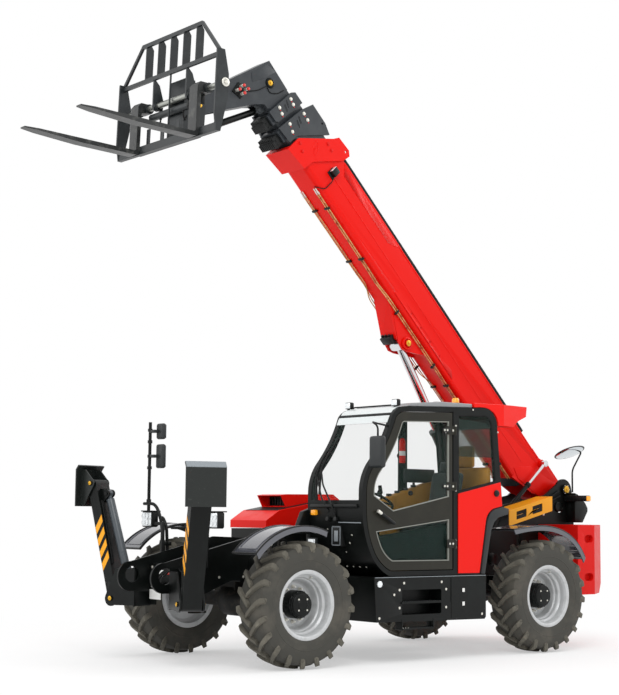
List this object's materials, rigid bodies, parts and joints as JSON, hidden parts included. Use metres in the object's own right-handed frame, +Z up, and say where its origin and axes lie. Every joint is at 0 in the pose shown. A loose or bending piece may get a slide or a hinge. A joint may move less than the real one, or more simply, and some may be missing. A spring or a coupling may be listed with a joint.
{
  "type": "telehandler",
  "caption": "Telescopic handler: four-section boom with fork carriage, offset cab, side engine, planetary wheels and folding front stabilisers.",
  "frame": {"origin": "on the ground, on the centre plane, halfway between the axles", "axes": "+X forward, +Y to the driver's left, +Z up"},
  "size_m": [7.2665, 2.602, 6.4002],
  "materials": {
    "black": "satin",
    "red": "gloss",
    "red_cover": "gloss",
    "tyre": "matte",
    "silver": "satin",
    "grey_plastic": "satin",
    "black_plastic": "satin",
    "iron_red": "gloss",
    "iron": "matte",
    "yellow": "gloss",
    "chrome": "polished",
    "brass": "satin",
    "glass": "clear",
    "seat": "matte",
    "tan": "satin",
    "roof_grey": "satin"
  },
  "bodies": {
    "machine": {"axles": "iron", "cab_glass": "glass", "cab_panel": "red_cover", "cab_roof": "roof_grey", "cab_shell": "black", "console": "tan", "counterweight": "iron_red", "engine": "iron", "engine_bay": "black", "frame_cross": "black", "frame_plates": "black", "guard": "yellow", "lamps": "black_plastic", "mirrors": "black_plastic", "roof_fairing": "red_cover", "seat": "seat", "stab_brackets": "black", "tank": "black_plastic"},
    "cab_door": {"cab_door": "black", "door_glass": "glass"},
    "hood": {"hood": "red_cover"},
    "boom": {"boom_outer": "red", "boom_pipes": "brass"},
    "boom_second": {"boom_second": "black"},
    "boom_third": {"boom_third": "black"},
    "boom_fourth": {"boom_fourth": "black"},
    "carriage": {"carriage": "black", "fork_shaft": "black", "forks": "black"},
    "lift_rod": {"lift_rod": "chrome"},
    "lift_barrel": {"lift_barrel": "black"},
    "comp_barrel": {"comp_barrel": "black"},
    "comp_rod": {"comp_rod": "chrome"},
    "tilt_barrel": {"tilt_barrel": "black"},
    "tilt_rod": {"tilt_rod": "chrome"},
    "knuckle_fl": {"knuckle_fl": "iron", "fender_fl": "grey_plastic"},
    "wheel_fl": {"tyre_fl": "tyre", "wheel_fl": "silver"},
    "knuckle_fr": {"knuckle_fr": "iron", "fender_fr": "grey_plastic"},
    "wheel_fr": {"tyre_fr": "tyre", "wheel_fr": "silver"},
    "knuckle_rl": {"knuckle_rl": "iron", "fender_rl": "grey_plastic"},
    "wheel_rl": {"tyre_rl": "tyre", "wheel_rl": "silver"},
    "knuckle_rr": {"knuckle_rr": "iron", "fender_rr": "grey_plastic"},
    "wheel_rr": {"tyre_rr": "tyre", "wheel_rr": "silver"},
    "leg_left": {"leg_left": "black"},
    "pad_left": {"pad_left": "black"},
    "leg_barrel_left": {"leg_barrel_left": "black"},
    "leg_rod_left": {"leg_rod_left": "chrome"},
    "leg_right": {"leg_right": "black"},
    "pad_right": {"pad_right": "black"},
    "leg_barrel_right": {"leg_barrel_right": "black"},
    "leg_rod_right": {"leg_rod_right": "chrome"}
  },
  "joints": [
    {"name": "steer_fl", "type": "hinge", "parent": "machine", "child": "knuckle_fl", "pos_m": [1.72, 0.8, 0.618], "axis": [0, 0, 1], "range_deg": [-35, 35]},
    {"name": "spin_fl", "type": "hinge", "parent": "knuckle_fl", "child": "wheel_fl", "pos_m": [1.72, 1.006, 0.618], "axis": [0, 1, 0], "continuous": true},
    {"name": "steer_fr", "type": "hinge", "parent": "machine", "child": "knuckle_fr", "pos_m": [1.72, -0.8, 0.618], "axis": [0, 0, 1], "range_deg": [-35, 35]},
    {"name": "spin_fr", "type": "hinge", "parent": "knuckle_fr", "child": "wheel_fr", "pos_m": [1.72, -1.006, 0.618], "axis": [0, 1, 0], "continuous": true},
    {"name": "steer_rl", "type": "hinge", "parent": "machine", "child": "knuckle_rl", "pos_m": [-1.72, 0.8, 0.618], "axis": [0, 0, 1], "range_deg": [-35, 35]},
    {"name": "spin_rl", "type": "hinge", "parent": "knuckle_rl", "child": "wheel_rl", "pos_m": [-1.72, 1.006, 0.618], "axis": [0, 1, 0], "continuous": true},
    {"name": "steer_rr", "type": "hinge", "parent": "machine", "child": "knuckle_rr", "pos_m": [-1.72, -0.8, 0.618], "axis": [0, 0, 1], "range_deg": [-35, 35]},
    {"name": "spin_rr", "type": "hinge", "parent": "knuckle_rr", "child": "wheel_rr", "pos_m": [-1.72, -1.006, 0.618], "axis": [0, 1, 0], "continuous": true},
    {"name": "cab_door_swing", "type": "hinge", "parent": "machine", "child": "cab_door", "pos_m": [-0.275, 1.182, 1.6], "axis": [0, 0, 1], "range_deg": [0, 85]},
    {"name": "hood_lift", "type": "hinge", "parent": "machine", "child": "hood", "pos_m": [-0.95, -0.83, 1.36], "axis": [0, -1, 0], "range_deg": [0, 55]},
    {"name": "boom_lift", "type": "hinge", "parent": "machine", "child": "boom", "pos_m": [-2.98, 0, 1.82], "axis": [0, -1, 0], "range_deg": [-47.5, 24.5]},
    {"name": "boom_second_slide", "type": "slide", "parent": "boom", "child": "boom_second", "axis": [0.7009, 0, 0.7133], "range_m": [0, 3.2]},
    {"name": "boom_third_slide", "type": "slide", "parent": "boom_second", "child": "boom_third", "axis": [0.7009, 0, 0.7133], "range_m": [0, 3.2]},
    {"name": "boom_fourth_slide", "type": "slide", "parent": "boom_third", "child": "boom_fourth", "axis": [0.7009, 0, 0.7133], "range_m": [0, 3.2]},
    {"name": "carriage_tilt", "type": "hinge", "parent": "boom_fourth", "child": "carriage", "pos_m": [2.38051, 0, 5.65985], "axis": [0, -1, 0], "range_deg": [-60, 50]},
    {"name": "tilt_barrel_swing", "type": "hinge", "parent": "boom_fourth", "child": "tilt_barrel", "pos_m": [1.53941, 0, 5.77696], "axis": [0, -1, 0], "range_deg": [-3, 3]},
    {"name": "tilt_stroke", "type": "slide", "parent": "tilt_barrel", "child": "tilt_rod", "axis": [0.9083, 0, -0.4182], "range_m": [-0.24, 0.2]},
    {"name": "lift_rod_swing", "type": "hinge", "parent": "boom", "child": "lift_rod", "pos_m": [-0.54097, 0, 3.42597], "axis": [0, -1, 0], "range_deg": [-7, 4]},
    {"name": "lift_stroke", "type": "slide", "parent": "lift_rod", "child": "lift_barrel", "axis": [-0.5282, 0, -0.8491], "range_m": [-0.98, 0.51]},
    {"name": "comp_barrel_swing", "type": "hinge", "parent": "machine", "child": "comp_barrel", "pos_m": [-1.75, 0.245, 1.3], "axis": [0, -1, 0], "range_deg": [-3, 5]},
    {"name": "comp_stroke", "type": "slide", "parent": "comp_barrel", "child": "comp_rod", "axis": [-0.7543, 0, 0.6565], "range_m": [-0.31, 0.16]},
    {"name": "leg_left_swing", "type": "hinge", "parent": "machine", "child": "leg_left", "pos_m": [2.72, 0.64, 0.63], "axis": [0.9511, -0.309, 0], "range_deg": [-100, 0]},
    {"name": "pad_left_tilt", "type": "hinge", "parent": "leg_left", "child": "pad_left", "pos_m": [2.81597, 0.93538, 1.78911], "axis": [0.9511, -0.309, 0], "range_deg": [0, 35]},
    {"name": "leg_barrel_left_swing", "type": "hinge", "parent": "leg_left", "child": "leg_barrel_left", "pos_m": [2.76956, 0.79252, 1.68442], "axis": [0.9511, -0.309, 0], "range_deg": [-2, 1]},
    {"name": "leg_left_stroke", "type": "slide", "parent": "leg_barrel_left", "child": "leg_rod_left", "axis": [-0.0984, -0.3029, -0.9479], "range_m": [0, 0.4]},
    {"name": "leg_right_swing", "type": "hinge", "parent": "machine", "child": "leg_right", "pos_m": [2.72, -0.64, 0.63], "axis": [-0.9511, -0.309, 0], "range_deg": [-100, 0]},
    {"name": "pad_right_tilt", "type": "hinge", "parent": "leg_right", "child": "pad_right", "pos_m": [2.81597, -0.93538, 1.78911], "axis": [-0.9511, -0.309, 0], "range_deg": [0, 35]},
    {"name": "leg_barrel_right_swing", "type": "hinge", "parent": "leg_right", "child": "leg_barrel_right", "pos_m": [2.76956, -0.79252, 1.68442], "axis": [-0.9511, -0.309, 0], "range_deg": [-2, 1]},
    {"name": "leg_right_stroke", "type": "slide", "parent": "leg_barrel_right", "child": "leg_rod_right", "axis": [-0.0984, 0.3029, -0.9479], "range_m": [0, 0.4]}
  ],
  "couplings": [
    {"joint": "steer_fr", "follows": "steer_fl", "ratio": 1},
    {"joint": "steer_rr", "follows": "steer_rl", "ratio": 1},
    {"joint": "boom_third_slide", "follows": "boom_second_slide", "ratio": 1},
    {"joint": "boom_fourth_slide", "follows": "boom_second_slide", "ratio": 1},
    {"joint": "tilt_barrel_swing", "follows": "carriage_tilt", "ratio": 0.041},
    {"joint": "tilt_stroke", "follows": "carriage_tilt", "m_per_rad": 0.222},
    {"joint": "lift_rod_swing", "follows": "boom_lift", "ratio": 0.12},
    {"joint": "lift_stroke", "follows": "boom_lift", "m_per_rad": 1.176},
    {"joint": "comp_barrel_swing", "follows": "boom_lift", "ratio": -0.098},
    {"joint": "comp_stroke", "follows": "boom_lift", "m_per_rad": 0.371},
    {"joint": "leg_barrel_left_swing", "follows": "leg_left_swing", "ratio": 0.009},
    {"joint": "leg_left_stroke", "follows": "leg_left_swing", "m_per_rad": -0.2245},
    {"joint": "leg_barrel_right_swing", "follows": "leg_right_swing", "ratio": 0.009},
    {"joint": "leg_right_stroke", "follows": "leg_right_swing", "m_per_rad": -0.2245}
  ]
}
